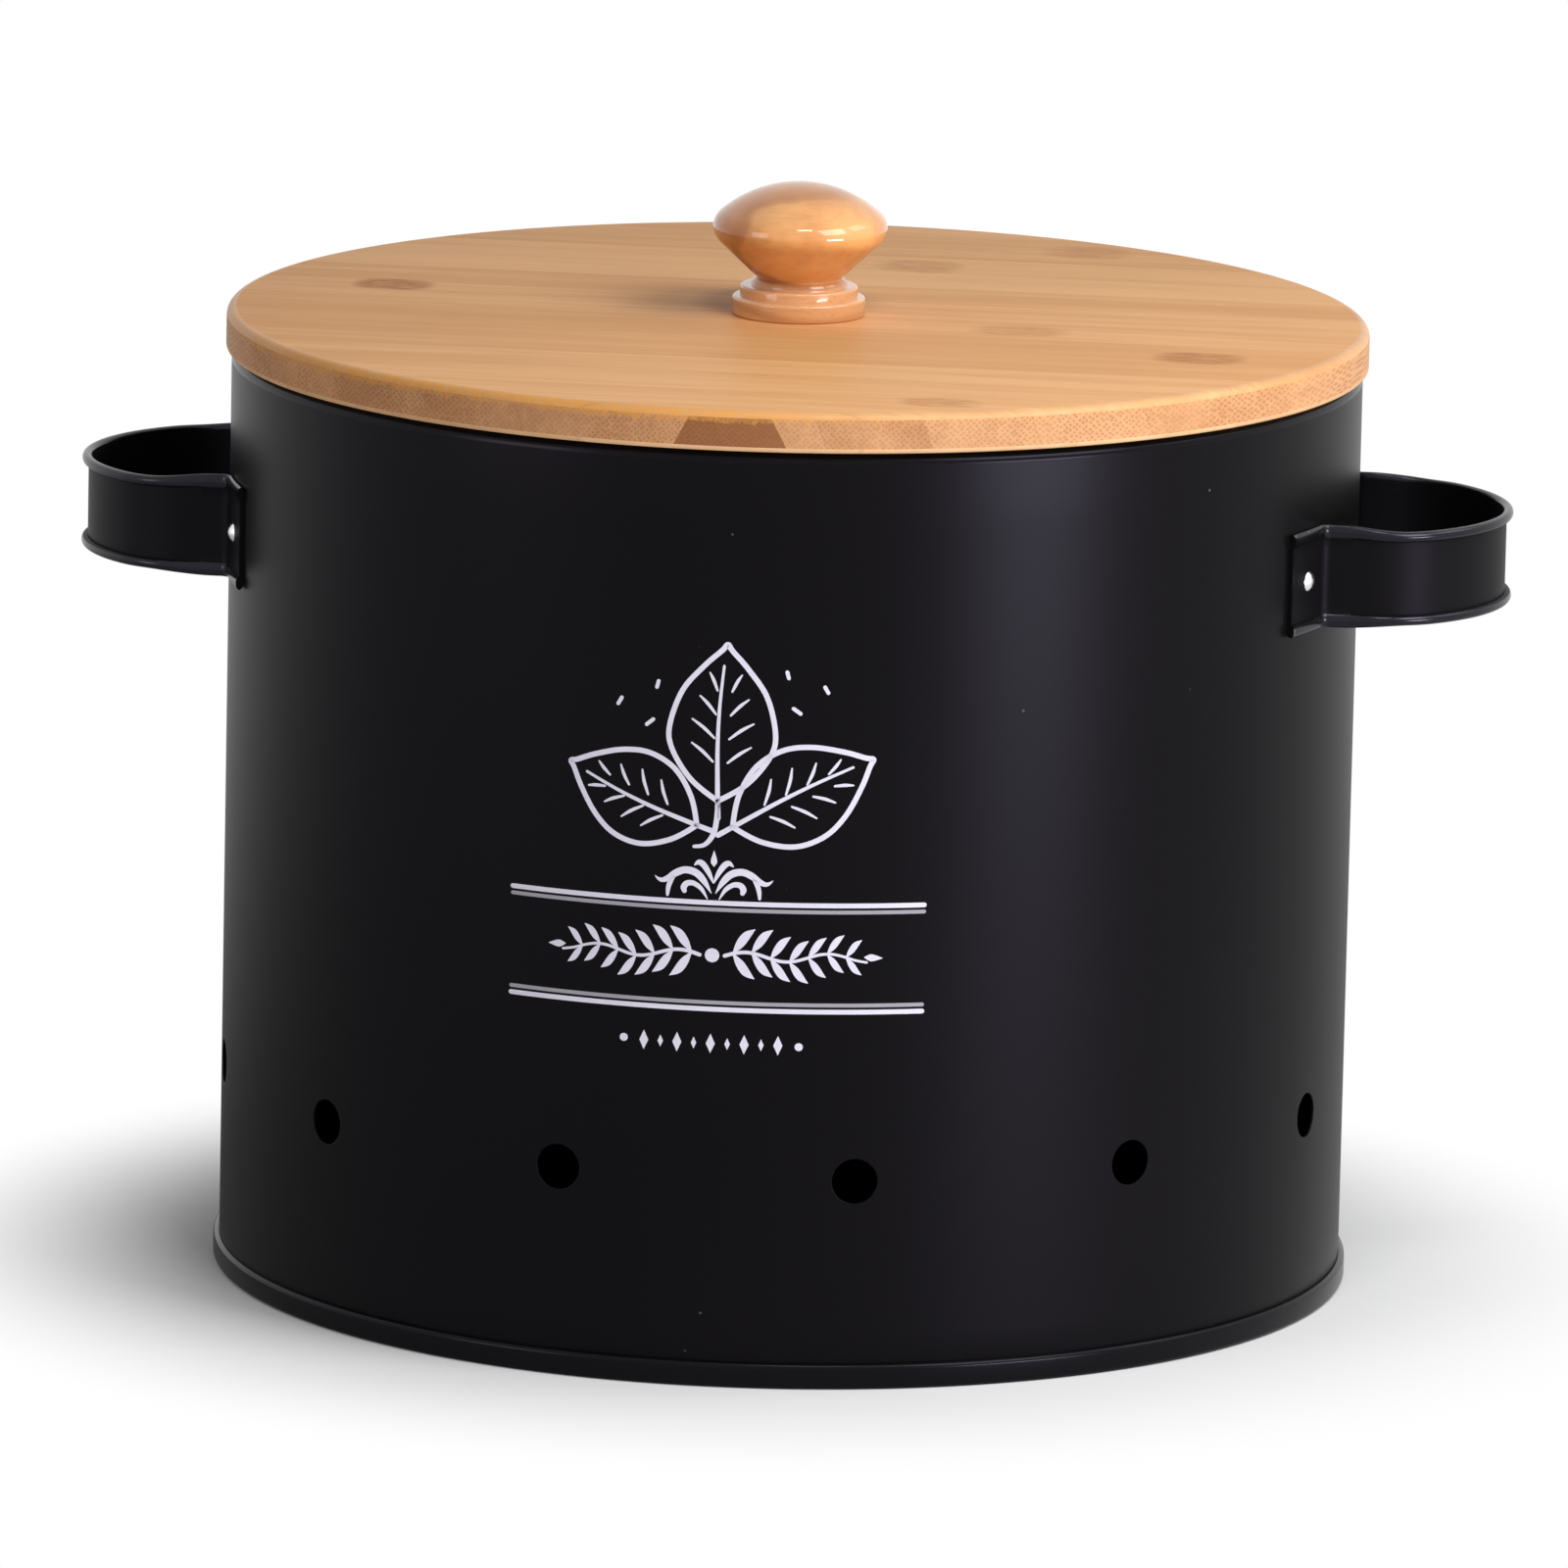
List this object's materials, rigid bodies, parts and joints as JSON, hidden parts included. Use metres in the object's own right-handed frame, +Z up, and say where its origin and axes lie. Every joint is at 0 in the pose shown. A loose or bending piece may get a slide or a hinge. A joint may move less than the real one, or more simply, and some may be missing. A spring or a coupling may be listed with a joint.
{
  "type": "potato storage bin",
  "caption": "Round steel vegetable storage bin with vent holes, riveted strap handles and a lift-off bamboo lid with a turned knob.",
  "frame": {"origin": "on the table under the bin's vertical axis, at the centre of the base seam's foot", "axes": "+Z up along the bin's axis, -Y towards the printed front, +X through the right handle"},
  "size_m": [0.3064, 0.2426, 0.2337],
  "materials": {
    "body_paint": "satin black powder coat",
    "handle_paint": "semi-gloss black",
    "rivet_steel": "bright bare metal",
    "bamboo_face": "satin lacquer",
    "bamboo_core": "satin lacquer on end grain",
    "knob_wood": "gloss varnish",
    "silicone": "translucent matt",
    "screw_steel": "zinc plated"
  },
  "bodies": {
    "bin": {"body_wall": "body_paint", "base_pan": "body_paint", "handle_left": "handle_paint", "handle_right": "handle_paint", "rivet_left_front": "rivet_steel", "rivet_left_back": "rivet_steel", "rivet_right_front": "rivet_steel", "rivet_right_back": "rivet_steel"},
    "seal": {"seal_ring": "silicone"},
    "lid": {"lid_top_ply": "bamboo_face", "lid_core_ply": "bamboo_core", "lid_bottom_ply": "bamboo_face", "lid_plug": "bamboo_face", "knob": "knob_wood", "knob_screw": "screw_steel", "knob_washer": "screw_steel"}
  },
  "joints": [
    {"name": "lid_lift", "type": "slide", "parent": "bin", "child": "seal", "axis": [0, 0, 1], "range_m": [0, 0.12]},
    {"name": "lid_turn", "type": "hinge", "parent": "seal", "child": "lid", "pos_m": [0, 0, 0.2], "axis": [0, 0, 1], "continuous": true}
  ]
}
